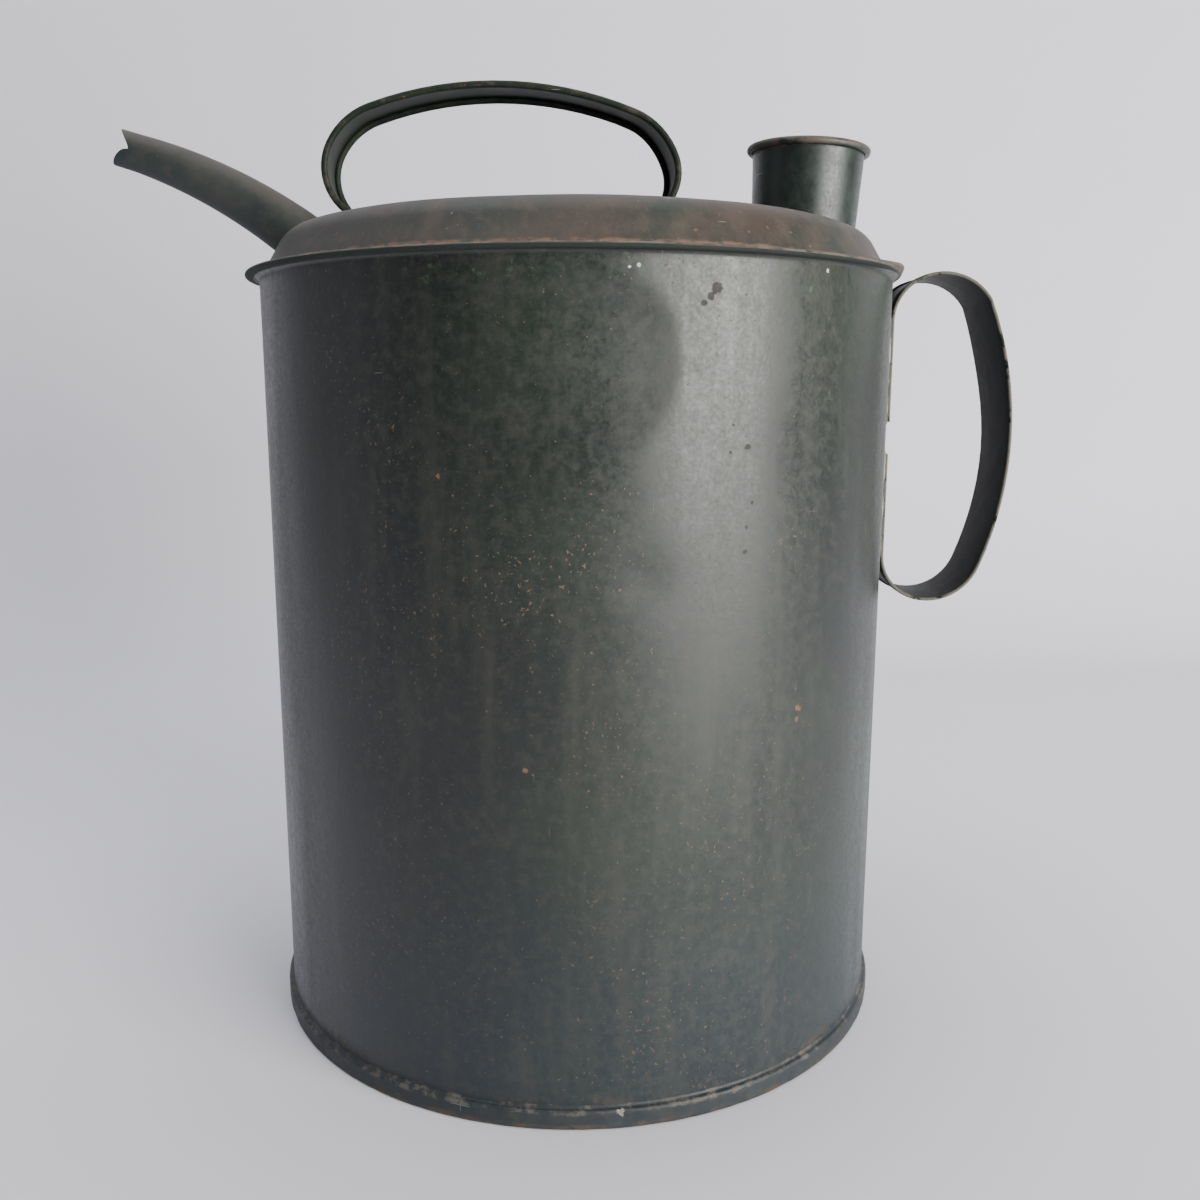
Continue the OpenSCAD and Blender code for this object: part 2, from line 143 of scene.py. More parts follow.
# tools for materials
def newMaterial(name):
    material = bpy.data.materials.new(name)
    material.use_nodes = True
    tree = material.node_tree
    shader = tree.nodes["Principled BSDF"]
    return material, tree, shader


def put(tree, kind, **values):
    # adds a node and sets its properties
    node = tree.nodes.new(kind)
    for key, value in values.items():
        setattr(node, key, value)
    return node


def join(tree, output, target):
    tree.links.new(output, target)


def feed(tree, socket, value):
    # sets an input to a number or a colour, or links another node's output to it
    if isinstance(value, tuple):
        socket.default_value = (*value, 1)
    elif isinstance(value, (int, float)):
        socket.default_value = value
    else:
        join(tree, value, socket)


def mathNode(tree, operation, *values, clamp=False):
    node = put(tree, "ShaderNodeMath", operation=operation, use_clamp=clamp)
    for socket, value in zip(node.inputs, values):
        feed(tree, socket, value)
    return node.outputs[0]


def scaled(tree, value, amount):
    return mathNode(tree, "MULTIPLY", value, amount)


def added(tree, base, value, amount):
    # base plus value times amount
    return mathNode(tree, "MULTIPLY_ADD", value, amount, base)


def centred(tree, value):
    return mathNode(tree, "SUBTRACT", value, 0.5)


def mixColour(tree, factor, a, b):
    node = put(tree, "ShaderNodeMix", data_type="RGBA")
    for socket, value in ((node.inputs[0], factor), (node.inputs[6], a), (node.inputs[7], b)):
        feed(tree, socket, value)
    return node.outputs[2]


def rampMask(tree, value, low, high):
    # 0 below low, 1 above high
    node = put(tree, "ShaderNodeMapRange", interpolation_type="SMOOTHSTEP")
    join(tree, value, node.inputs[0])
    node.inputs[1].default_value = low
    node.inputs[2].default_value = high
    return node.outputs[0]


def stretched(tree, vector, scale, turn=(0, 0, 0)):
    node = put(tree, "ShaderNodeMapping")
    node.inputs["Rotation"].default_value = turn
    node.inputs["Scale"].default_value = scale
    join(tree, vector, node.inputs[0])
    return node.outputs[0]


def noiseValue(tree, vector, scale, detail=4.0, roughness=0.5):
    node = put(tree, "ShaderNodeTexNoise")
    feed(tree, node.inputs["Scale"], scale)
    node.inputs["Detail"].default_value = detail
    node.inputs["Roughness"].default_value = roughness
    join(tree, vector, node.inputs["Vector"])
    return node.outputs["Fac"]


def newGroup(name, **inputs):
    # a node group that takes coordinates and other inputs and gives one mask; None stands for a vector
    group = bpy.data.node_groups.new(name, "ShaderNodeTree")
    for label, value in inputs.items():
        kind = "NodeSocketVector" if value is None else "NodeSocketFloat"
        socket = group.interface.new_socket(name=label, in_out="INPUT", socket_type=kind)
        if value is not None:
            socket.default_value = value
    group.interface.new_socket(name="Mask", in_out="OUTPUT", socket_type="NodeSocketFloat")
    source = group.nodes.new("NodeGroupInput").outputs
    return group, source, group.nodes.new("NodeGroupOutput").inputs["Mask"]


def useGroup(tree, group, vector, **values):
    node = put(tree, "ShaderNodeGroup", node_tree=group)
    join(tree, vector, node.inputs["Vector"])
    for key, value in values.items():
        node.inputs[key].default_value = value
    return node.outputs[0]


def makeSpecks():
    # small hard spots in loose clusters
    group, source, mask = newGroup("specks", Vector=None, Scale=500.0, Cluster=20.0, Amount=0.5)
    fine = noiseValue(group, source["Vector"], source["Scale"], 3.0, 0.6)
    cluster = noiseValue(group, source["Vector"], source["Cluster"], 2.0)
    bias = added(group, fine, cluster, 0.22)
    level = added(group, 0.92, source["Amount"], -0.2)
    over = mathNode(group, "SUBTRACT", bias, level)
    join(group, mathNode(group, "MULTIPLY", over, 28.0, clamp=True), mask)
    return group


def makeScratches():
    # short thin lines along two directions
    group, source, mask = newGroup("scratches", Vector=None, Amount=0.5)
    coords = source["Vector"]
    lines = noiseValue(group, stretched(group, coords, (1400, 1400, 45), (0.3, 0.1, 0.0)), 1.0, 1.0)
    other = noiseValue(group, stretched(group, coords, (70, 70, 1500), (0.25, -0.5, 0.4)), 1.0, 1.0)
    both = mathNode(group, "MAXIMUM", lines, other)
    bias = added(group, both, noiseValue(group, coords, 60.0, 2.0), 0.2)
    level = added(group, 1.0, source["Amount"], -0.2)
    over = mathNode(group, "SUBTRACT", bias, level)
    join(group, mathNode(group, "MULTIPLY", over, 30.0, clamp=True), mask)
    return group


def makeBand():
    # a ragged-edged band round the can between two heights
    group, source, mask = newGroup("band", Vector=None, Low=0.0, High=0.01, Fade=0.002, Ragged=0.003)
    parts = put(group, "ShaderNodeSeparateXYZ")
    join(group, source["Vector"], parts.inputs[0])
    rough = noiseValue(group, source["Vector"], 130.0, 4.0, 0.6)
    height = added(group, parts.outputs["Z"], centred(group, rough), source["Ragged"])
    above = mathNode(group, "SUBTRACT", height, source["Low"])
    below = mathNode(group, "SUBTRACT", source["High"], height)
    up = mathNode(group, "DIVIDE", above, source["Fade"], clamp=True)
    down = mathNode(group, "DIVIDE", below, source["Fade"], clamp=True)
    join(group, scaled(group, up, down), mask)
    return group


def makeSpot():
    # a small ragged spot round one place
    group, source, mask = newGroup("spot", Vector=None, Place=None, Size=0.002, Ragged=0.6)
    gap = put(group, "ShaderNodeVectorMath", operation="DISTANCE")
    join(group, source["Vector"], gap.inputs[0])
    join(group, source["Place"], gap.inputs[1])
    rough = centred(group, noiseValue(group, source["Vector"], 520.0, 4.0, 0.6))
    share = mathNode(group, "DIVIDE", gap.outputs["Value"], source["Size"])
    uneven = scaled(group, scaled(group, rough, source["Ragged"]), 4.0)
    over = mathNode(group, "SUBTRACT", 1.0, mathNode(group, "ADD", share, uneven))
    join(group, mathNode(group, "MULTIPLY", over, 6.0, clamp=True), mask)
    return group


specks = makeSpecks()
scratches = makeScratches()
band = makeBand()
spot = makeSpot()


def surfaceBump(tree, shader, height, strength, distance=0.0004):
    bump = put(tree, "ShaderNodeBump")
    bump.inputs["Strength"].default_value = strength
    bump.inputs["Distance"].default_value = distance
    join(tree, height, bump.inputs["Height"])
    join(tree, bump.outputs["Normal"], shader.inputs["Normal"])


def spotPlace(angle, z, radius=0.11):
    return (radius * math.sin(math.radians(angle)), -radius * math.cos(math.radians(angle)), z)


def brokenCover(tree, coords, wearShadeAndHighlightBand, fade):
    # patchy share of a band or rub (worn places, and on the dome's hem painted shade and a painted
    # highlight), between its bare and its covered parts
    patches = noiseValue(tree, coords, wearShadeAndHighlightBand["grain"], 5.0, 0.7)
    return rampMask(tree, patches, wearShadeAndHighlightBand["cover"], wearShadeAndHighlightBand["cover"] + fade)


def wornEnamel(name, look):
    # satin or glossy enamel with mottling, rust freckles, pits, scratches, dust, painted light on upward
    # faces, worn places, bands of painted shade and painted highlight, and chips
    material, tree, shader = newMaterial(name)
    texture = put(tree, "ShaderNodeTexCoord")
    coords = texture.outputs["Object"]
    facing = put(tree, "ShaderNodeSeparateXYZ")
    join(tree, texture.outputs["Normal"], facing.inputs[0])
    place = put(tree, "ShaderNodeSeparateXYZ")
    join(tree, coords, place.inputs[0])
    clouds = noiseValue(tree, coords, look["cloudScale"], 4.0, 0.55)
    mottle = noiseValue(tree, coords, look.get("mottleScale", 210.0), 5.0, 0.65)
    grain = noiseValue(tree, coords, 900.0, 3.0, 0.6)
    runs = noiseValue(tree, stretched(tree, coords, (95, 95, 9)), 1.0, 4.0, 0.6)
    colour = mixColour(tree, rampMask(tree, clouds, 0.35, 0.66), look["dark"], look["light"])
    # tints along one axis; the drum's tint along X is painted shade on its side away from the window light
    for tint in look.get("tints", []):
        along = place.outputs[tint["axis"]]
        mask = scaled(tree, rampMask(tree, along, tint["low"], tint["high"]), tint["amount"])
        colour = mixColour(tree, mask, colour, tint["colour"])
    for pattern, low, high, amount in ((runs, 0.45, 0.8, look["runs"]), (mottle, 0.42, 0.72, look["mottle"]),
                                       (grain, 0.5, 0.75, look["mottle"] * 0.7)):
        mask = scaled(tree, rampMask(tree, pattern, low, high), amount)
        colour = mixColour(tree, mask, colour, look["dust"])
    # painted light from above: faces turned upwards get lighter, partly dust on top and partly light falling
    # from above
    if look.get("topLightAndDust"):
        upward = scaled(tree, rampMask(tree, facing.outputs["Z"], 0.0, 0.9), look["topLightAndDust"])
        upward = scaled(tree, upward, rampMask(tree, mottle, 0.2, 0.6))
        colour = mixColour(tree, upward, colour, look["topLightAndDustColour"])
    rust = useGroup(tree, specks, coords, Scale=look["rustScale"], Cluster=24.0, Amount=look["rust"])
    colour = mixColour(tree, rust, colour, look["rustColour"])
    pits = useGroup(tree, specks, coords, Scale=170.0, Cluster=16.0, Amount=look["pits"])
    colour = mixColour(tree, pits, colour, look["pitColour"])
    marks = useGroup(tree, scratches, coords, Amount=look["scratches"])
    colour = mixColour(tree, scaled(tree, marks, 0.75), colour, look["scratchColour"])
    height = added(tree, scaled(tree, mottle, 0.25), rust, 0.6)
    height = added(tree, height, pits, -0.3)
    height = added(tree, height, grain, look.get("grainBump", 0.1))
    rough = added(tree, look["rough"], mottle, look["roughVary"])
    rough = added(tree, rough, centred(tree, grain), look.get("grainRough", 0.1))
    rough = added(tree, rough, centred(tree, runs), look.get("runRough", 0.15))
    rough = added(tree, rough, rust, 0.3)
    rough = added(tree, rough, pits, 0.2)
    # bands round the can: mostly wear, but the dome's hem bands are painted shade and a painted highlight
    for wearShadeAndHighlightBand in look.get("bands", []):
        mask = useGroup(tree, band, coords, Low=wearShadeAndHighlightBand["low"], High=wearShadeAndHighlightBand["high"], Fade=wearShadeAndHighlightBand["fade"],
                        Ragged=wearShadeAndHighlightBand["ragged"])
        mask = scaled(tree, mask, brokenCover(tree, coords, wearShadeAndHighlightBand, 0.14))
        colour = mixColour(tree, mask, colour, wearShadeAndHighlightBand["colour"])
        rough = added(tree, rough, mask, wearShadeAndHighlightBand["rough"])
    for rub in look.get("rubs", []):
        across = mathNode(tree, "ABSOLUTE", place.outputs["Y"])
        across = added(tree, across, centred(tree, mottle), rub["ragged"])
        mask = rampMask(tree, across, rub["low"], rub["high"])
        mask = scaled(tree, mask, brokenCover(tree, coords, rub, 0.12))
        colour = mixColour(tree, mask, colour, rub["colour"])
        rough = added(tree, rough, mask, rub["rough"])
    for chip in look.get("chips", []):
        mask = useGroup(tree, spot, coords, Place=chip["place"], Size=chip["size"], Ragged=chip["ragged"])
        colour = mixColour(tree, mask, colour, chip["colour"])
        rough = added(tree, rough, mask, 0.35)
        height = added(tree, height, mask, -0.2)
    join(tree, colour, shader.inputs["Base Color"])
    join(tree, mathNode(tree, "MAXIMUM", rough, 0.05, clamp=True), shader.inputs["Roughness"])
    shader.inputs["Specular IOR Level"].default_value = look.get("shine", 0.5)
    surfaceBump(tree, shader, height, look["bump"])
    return material


def drumChip(angle, z, size, ragged, colour):
    return dict(place=spotPlace(angle, z), size=size, ragged=ragged, colour=colour)


# the looks: colours are linear, lengths in metres; low and high are where a tint, a worn place, or a band of
# painted shade or painted highlight begins and ends
paleChip = (0.42, 0.43, 0.40)
darkChip = (0.030, 0.028, 0.024)
rustChip = (0.13, 0.062, 0.03)
drumChips = [
    drumChip(7.2, 0.2540, 0.0005, 0.5, paleChip), drumChip(8.6, 0.2544, 0.0006, 0.5, paleChip),
    drumChip(41.2, 0.2558, 0.0006, 0.4, paleChip), drumChip(20.2, 0.2490, 0.0016, 0.6, darkChip),
    drumChip(19.2, 0.2468, 0.0013, 0.6, darkChip), drumChip(18.3, 0.2450, 0.0008, 0.6, darkChip),
    drumChip(26, 0.206, 0.0010, 0.6, darkChip), drumChip(27, 0.190, 0.0006, 0.6, darkChip),
    drumChip(26.2, 0.183, 0.0007, 0.6, darkChip), drumChip(23.4, 0.212, 0.0006, 0.6, darkChip),
    drumChip(25.9, 0.176, 0.0006, 0.6, darkChip), drumChip(23.0, 0.2045, 0.0006, 0.6, darkChip),
    drumChip(38, 0.126, 0.0011, 1.0, rustChip), drumChip(37.6, 0.1225, 0.0008, 1.0, rustChip),
    drumChip(-21, 0.198, 0.0008, 1.0, rustChip), drumChip(-8, 0.114, 0.0008, 1.0, rustChip)]
drumEnamelLook = dict(
    dark=(0.008, 0.012, 0.010), light=(0.014, 0.022, 0.014), dust=(0.043, 0.043, 0.033),
    cloudScale=9.0, runs=0.4, mottle=0.34, mottleScale=300.0, rust=0.68, rustScale=850.0,
    rustColour=(0.10, 0.066, 0.042), pits=0.13, pitColour=(0.014, 0.014, 0.012), scratches=0.32,
    scratchColour=(0.16, 0.18, 0.16),
    rough=0.26, roughVary=0.32, bump=0.30, grainBump=0.14, grainRough=0.35, runRough=0.3, chips=drumChips,
    # painted shade: the tint along X darkens the drum's left side, away from the window light; the tint along
    # Z turns it bluer towards the bottom
    tints=[dict(axis="X", low=0.0, high=-0.07, amount=0.8, colour=(0.005, 0.006, 0.007)),
           dict(axis="Z", low=0.11, high=0.01, amount=0.6, colour=(0.010, 0.018, 0.027))],
    bands=[dict(low=0.250, high=0.262, fade=0.003, ragged=0.012, grain=260.0, cover=0.56,
                colour=(0.030, 0.055, 0.030), rough=0.1),
           dict(low=-0.01, high=0.012, fade=0.004, ragged=0.008, grain=160.0, cover=0.5,
                colour=(0.040, 0.034, 0.028), rough=0.3)])
seamEnamelLook = dict(
    drumEnamelLook, light=(0.018, 0.025, 0.022), rust=0.6, scratches=0.6, rough=0.42,
    chips=[dict(place=spotPlace(6.6, 0.0052, 0.1118), size=0.0014, ragged=0.8, colour=(0.20, 0.19, 0.17))],
    bands=[dict(low=0.0050, high=0.0076, fade=0.0005, ragged=0.003, grain=150.0, cover=0.47,
                colour=(0.080, 0.075, 0.064), rough=0.1),
           dict(low=-0.001, high=0.0022, fade=0.0008, ragged=0.002, grain=120.0, cover=0.46,
                colour=(0.055, 0.040, 0.028), rough=0.2)])
rootSmears = [dict(place=(-0.0935, -0.0080, 0.2755), size=0.0044, ragged=0.5, colour=(0.080, 0.075, 0.064)),
              dict(place=(-0.0965, -0.0092, 0.2712), size=0.0026, ragged=0.6, colour=(0.070, 0.066, 0.057))]
domePatinaLook = dict(
    chips=rootSmears,
    dark=(0.007, 0.015, 0.009), light=(0.038, 0.025, 0.017), dust=(0.064, 0.047, 0.034),
    cloudScale=34.0, runs=0.75, mottle=0.6, mottleScale=150.0, rust=0.6, rustScale=420.0,
    rustColour=(0.115, 0.066, 0.040), pits=0.46, pitColour=(0.010, 0.016, 0.011), scratches=0.5,
    scratchColour=(0.3, 0.28, 0.25), rough=0.46, roughVary=0.22, bump=0.4,
    tints=[dict(axis="X", low=0.03, high=-0.085, amount=0.75, colour=(0.012, 0.015, 0.012))],
    bands=[dict(low=0.2601, high=0.2618, fade=0.0006, ragged=0.0022, grain=200.0, cover=0.42,
                colour=(0.13, 0.078, 0.046), rough=0.1),
           # painted shade: the hem's outer face is darkened, dark enamel together with the shade under the
           # flange's top edge
           dict(low=0.2560, high=0.25955, fade=0.0002, ragged=0.0002, grain=90.0, cover=-0.2,
                colour=(0.007, 0.012, 0.009), rough=0.3),
           # worn bare line along the flange's top edge, brightened as a painted highlight
           dict(low=0.2595, high=0.2602, fade=0.0002, ragged=0.0005, grain=120.0, cover=0.42,
                colour=(0.10, 0.085, 0.062), rough=0.0)])
spoutEnamelLook = dict(
    dark=(0.013, 0.020, 0.022), light=(0.024, 0.032, 0.029), dust=(0.060, 0.054, 0.045),
    cloudScale=30.0, runs=0.2, mottle=0.4, rust=0.4, rustScale=700.0, rustColour=(0.12, 0.07, 0.04),
    pits=0.2, pitColour=(0.02, 0.02, 0.018), scratches=0.3, scratchColour=(0.3, 0.3, 0.28),
    # the spout's lighter top is painted light from above, with some dust
    topLightAndDust=0.8, topLightAndDustColour=(0.055, 0.047, 0.037), rough=0.46, roughVary=0.22, bump=0.25, shine=0.3,
    chips=rootSmears)
topHandleEnamelLook = dict(
    dark=(0.006, 0.012, 0.009), light=(0.015, 0.021, 0.015), dust=(0.042, 0.040, 0.030),
    cloudScale=48.0, runs=0.3, mottle=0.45, rust=0.6, rustScale=700.0, rustColour=(0.12, 0.06, 0.035),
    pits=0.15, pitColour=(0.02, 0.018, 0.016), scratches=0.5, scratchColour=(0.25, 0.25, 0.22),
    rough=0.40, roughVary=0.22, bump=0.2, shine=0.14,
    rubs=[dict(low=0.0110, high=0.0120, ragged=0.002, grain=150.0, cover=0.52,
               colour=(0.050, 0.044, 0.034), rough=0.05)])
sideHandleEnamelLook = dict(
    dark=(0.0020, 0.0036, 0.0030), light=(0.0035, 0.0062, 0.0045), dust=(0.011, 0.012, 0.009),
    cloudScale=22.0, runs=0.2, mottle=0.15, rust=0.3, rustScale=700.0, rustColour=(0.10, 0.05, 0.03),
    pits=0.15, pitColour=(0.012, 0.012, 0.012), scratches=0.3, scratchColour=(0.2, 0.2, 0.18),
    rough=0.40, roughVary=0.2, bump=0.2, shine=0.05,
    rubs=[dict(low=0.01335, high=0.0138, ragged=0.0008, grain=140.0, cover=0.36,
               colour=(0.12, 0.115, 0.095), rough=0.1)],
    chips=[dict(place=(0.1500, -0.0139, 0.2275), size=0.0016, ragged=0.6, colour=paleChip),
           dict(place=(0.1465, -0.0139, 0.2345), size=0.0012, ragged=0.6, colour=paleChip)])
fillerEnamelLook = dict(
    dark=(0.008, 0.014, 0.012), light=(0.016, 0.027, 0.021), dust=(0.05, 0.05, 0.042),
    cloudScale=30.0, runs=0.2, mottle=0.22, rust=0.4, rustScale=700.0, rustColour=(0.13, 0.07, 0.04),
    pits=0.1, pitColour=(0.02, 0.02, 0.018), scratches=0.4, scratchColour=(0.25, 0.26, 0.24),
    rough=0.25, roughVary=0.34, bump=0.25, grainRough=0.4, mottleScale=170.0,
    bands=[dict(low=0.3032, high=0.309, fade=0.0006, ragged=0.001, grain=150.0, cover=0.36,
                colour=(0.075, 0.062, 0.048), rough=0.2)])
# the lid's top is lighter: dust, and painted light from above
lidEnamelLook = dict(fillerEnamelLook, rough=0.35, bands=[], topLightAndDust=0.7, topLightAndDustColour=(0.075, 0.065, 0.050))
drumEnamel = wornEnamel("drumEnamel", drumEnamelLook)
seamEnamel = wornEnamel("seamEnamel", seamEnamelLook)
domePatina = wornEnamel("domePatina", domePatinaLook)
spoutEnamel = wornEnamel("spoutEnamel", spoutEnamelLook)
topHandleEnamel = wornEnamel("topHandleEnamel", topHandleEnamelLook)
sideHandleEnamel = wornEnamel("sideHandleEnamel", sideHandleEnamelLook)
fillerEnamel = wornEnamel("fillerEnamel", fillerEnamelLook)
lidEnamel = wornEnamel("lidEnamel", lidEnamelLook)


def dullMetal(name, look):
    # bare solder or wire: metal under patches of grime
    material, tree, shader = newMaterial(name)
    coords = put(tree, "ShaderNodeTexCoord").outputs["Object"]
    patches = noiseValue(tree, coords, look["scale"], 5.0, 0.65)
    grime = rampMask(tree, patches, look["cover"], look["cover"] + 0.25)
    lumps = noiseValue(tree, coords, look["scale"] * 2.5, 3.0)
    join(tree, mixColour(tree, grime, look["clean"], look["dirty"]), shader.inputs["Base Color"])
    join(tree, added(tree, look["rough"], grime, 0.3), shader.inputs["Roughness"])
    join(tree, added(tree, 0.9, grime, -0.9), shader.inputs["Metallic"])
    surfaceBump(tree, shader, lumps, 0.3)
    return material


softSolder = dullMetal("softSolder", dict(
    clean=(0.30, 0.30, 0.28), dirty=(0.10, 0.095, 0.08), rough=0.45, scale=260.0, cover=0.4))
tintedSolder = dullMetal("tintedSolder", dict(
    clean=(0.26, 0.25, 0.22), dirty=(0.065, 0.062, 0.052), rough=0.42, scale=180.0, cover=0.36))
wornWire = dullMetal("wornWire", dict(
    clean=(0.32, 0.30, 0.27), dirty=(0.10, 0.07, 0.05), rough=0.38, scale=340.0, cover=0.4))
print("materials made")


# camera, light and floor
cameraSetup = dict(place=(0.0, -0.4214, 0.2211), pitch=-10.4, yaw=1.094, roll=-0.09, lens=33.97)
camera = bpy.data.objects.new("camera", bpy.data.cameras.new("camera"))
camera.data.lens = cameraSetup["lens"]
camera.data.sensor_width = 36
camera.data.clip_start = 0.01
camera.location = cameraSetup["place"]
camera.rotation_euler = (math.radians(90 + cameraSetup["pitch"]), math.radians(cameraSetup["roll"]),
                         math.radians(-cameraSetup["yaw"]))
scene.collection.objects.link(camera)
scene.camera = camera


def softLight(name, place, target, size, power, colour):
    lamp = bpy.data.lights.new(name, "AREA")
    lamp.shape = "RECTANGLE"
    lamp.size, lamp.size_y = size
    lamp.energy = power
    lamp.color = colour
    obj = bpy.data.objects.new(name, lamp)
    obj.location = place
    obj.rotation_euler = (Vector(target) - Vector(place)).to_track_quat("-Z", "Y").to_euler()
    scene.collection.objects.link(obj)


softLight("windowLight", (1.11, -1.09, 0.43), (0, 0, 0.22), (1.12, 0.78), 52, (1.0, 0.98, 0.94))
softLight("ceilingLight", (-0.2, 0.25, 1.9), (0, 0, 0), (2.2, 2.2), 40, (0.97, 0.97, 1.0))
softLight("fillLight", (-1.5, -0.2, 0.7), (0, 0, 0.2), (1.0, 1.2), 2, (0.88, 0.92, 1.0))
world = bpy.data.worlds.new("room")
world.use_nodes = True
world.node_tree.nodes["Background"].inputs[0].default_value = (0.72, 0.72, 0.76, 1)
world.node_tree.nodes["Background"].inputs[1].default_value = 0.11
scene.world = world


# a sheet of pale paper that sweeps up behind the can
floorSetup = dict(front=-1.6, back=0.62, sweep=0.16, height=1.5, halfWidth=2.4)


def makeFloor():
    s = floorSetup
    bm = bmesh.new()
    line = [(s["front"], 0.0), (s["back"] - s["sweep"], 0.0)]
    line += arcPoints(s["back"] - s["sweep"], s["sweep"], s["sweep"], -90, 0, 16)
    line += [(s["back"], s["height"])]
    verts = [bm.verts.new((-s["halfWidth"], y, z)) for y, z in line]
    edges = [bm.edges.new(pair) for pair in zip(verts, verts[1:])]
    made = bmesh.ops.extrude_edge_only(bm, edges=edges)["geom"]
    bmesh.ops.translate(bm, verts=[g for g in made if isinstance(g, bmesh.types.BMVert)],
                        vec=(2 * s["halfWidth"], 0, 0))
    bmesh.ops.remove_doubles(bm, verts=bm.verts, dist=1e-5)
    mesh = bpy.data.meshes.new("floor")
    bm.to_mesh(mesh)
    bm.free()
    mesh.polygons.foreach_set("use_smooth", [True] * len(mesh.polygons))
    material, tree, shader = newMaterial("palePaper")
    coords = put(tree, "ShaderNodeTexCoord").outputs["Object"]
    tone = noiseValue(tree, coords, 3.0, 2.0)
    join(tree, mixColour(tree, tone, (0.72, 0.72, 0.79), (0.78, 0.78, 0.82)), shader.inputs["Base Color"])
    shader.inputs["Roughness"].default_value = 0.7
    mesh.materials.append(material)
    floor = bpy.data.objects.new("floor", mesh)
    scene.collection.objects.link(floor)


makeFloor()
print("camera, light and floor set")


# helpers for tubes, fillets and cut openings
def makeCircleRing(bm, sides, centre, along, radius):
    # a ring of vertices round a centre, facing along; vertex 0 points up
    side = Vector((0, 1, 0))
    up = side.cross(along).normalized()
    turn = Matrix((up, side, along)).transposed().to_4x4()
    made = bmesh.ops.create_circle(bm, cap_ends=False, segments=sides, radius=radius,
                                   matrix=Matrix.Translation(centre) @ turn)
    return made["verts"]


def capEnds(bm):
    bmesh.ops.holes_fill(bm, edges=[e for e in bm.edges if e.is_boundary], sides=0)


def bridgeRings(bm, rings):
    # joins each ring to the next, and the last to the first
    loops = [list({e for v in ring for e in v.link_edges}) for ring in rings]
    for a, b in zip(loops, loops[1:] + loops[:1]):
        bmesh.ops.bridge_loops(bm, edges=a + b)


# the drum: wall, flare and flange spun as one sheet, then dented
drumShape = dict(radius=0.110, foot=0.0006, flareZ=0.2573, flare=0.0015, flange=0.1140, sheet=0.0006,
                 turns=300, dented=85)
bigDent = dict(width=0.056, right=0.0288, low=0.196, full=0.226, fading=0.241, high=0.2560, depth=0.0014,
               middle=0.228, cornerIn=0.018, cornerHeight=0.026, belowIn=21)
smallDents = [dict(angle=10, z=0.168, size=0.009, depth=0.0005),
              dict(angle=-28, z=0.115, size=0.016, depth=0.0004),
              dict(angle=24, z=0.06, size=0.014, depth=0.0004),
              dict(angle=-6, z=0.098, size=0.011, depth=0.0003),
              dict(angle=38, z=0.205, size=0.012, depth=0.0003)]
wallWaves = dict(depth=0.00022, broad=(26, 9, 3.1), narrow=(11, 22, 7.7), low=(0.012, 0.04),
                 high=(0.235, 0.256), side=(62, 80))


def dentDepth(angle, z):
    # angle in degrees from the front towards +X
    b, w = bigDent, wallWaves
    u = math.radians(angle) * drumShape["radius"]
    above = z - b["middle"]
    inwards = b["cornerIn"] * (above / b["cornerHeight"]) ** 3 if above > 0 else b["belowIn"] * above ** 2
    share = min(1.0, max(0.0, (b["right"] - inwards - u) / b["width"]))
    # 6.75 makes the curve's deepest place, a third of the way in, equal to one
    deep = 6.75 * share * (1 - share) ** 2
    deep *= smoothStep(b["low"], b["full"], z) * (1 - smoothStep(b["fading"], b["high"], z))
    depth = b["depth"] * deep
    for dent in smallDents:
        du = math.radians(angle - dent["angle"]) * drumShape["radius"]
        far = math.hypot(du, z - dent["z"]) / dent["size"]
        depth += dent["depth"] * math.exp(-far * far)
    broad, narrow = [noise.noise(Vector((angle / turn, z * up, seed)))
                     for turn, up, seed in (w["broad"], w["narrow"])]
    quiet = smoothStep(*w["low"], z) * (1 - smoothStep(*w["high"], z))
    quiet *= 1 - smoothStep(*w["side"], abs(angle))
    return depth + w["depth"] * (broad + 0.5 * narrow + 1.0) * quiet


# the flange beside the side handle has been bent upwards
flangeBend = dict(start=0.1100, length=0.0020, middle=0.2594, low=0.2560, centre=12.0, sharp=54.0,
                  narrow=17.0, slight=14.0, broad=50.0)


def bendFlange(bm):
    # bends the flange up by an angle that fades away on both sides of the bend's centre
    b = flangeBend
    for v in bm.verts:
        run = v.co.xy.length - b["start"]
        side = math.degrees(math.atan2(-v.co.y, v.co.x)) - b["centre"]
        full = math.radians(b["sharp"] * math.exp(-(side / b["narrow"]) ** 2)
                            + b["slight"] * math.exp(-(side / b["broad"]) ** 2))
        if run <= 0 or v.co.z < b["low"] or full < 0.002:
            continue
        turn = full * min(1.0, run / b["length"])
        curve, tail, lift = b["length"] / full, max(0.0, run - b["length"]), v.co.z - b["middle"]
        radius = b["start"] + curve * math.sin(turn) + tail * math.cos(full) - lift * math.sin(turn)
        height = b["middle"] + curve * (1 - math.cos(turn)) + tail * math.sin(full) + lift * math.cos(turn)
        flat = Vector((v.co.x, v.co.y, 0)).normalized() * radius
        v.co = (flat.x, flat.y, height)


def drumLine(inwards):
    # the drum's profile from its foot out to the flange's edge, moved inwards by up to the sheet
    s = drumShape
    wall = s["radius"] - inwards
    line = denser([(wall, s["foot"]), (wall, s["flareZ"])], 0.0023)
    line += arcPoints(s["radius"] + s["flare"], s["flareZ"], s["flare"] + inwards, 180, 90, 6)[1:]
    return line + [(s["flange"], s["flareZ"] + s["flare"] + inwards)]


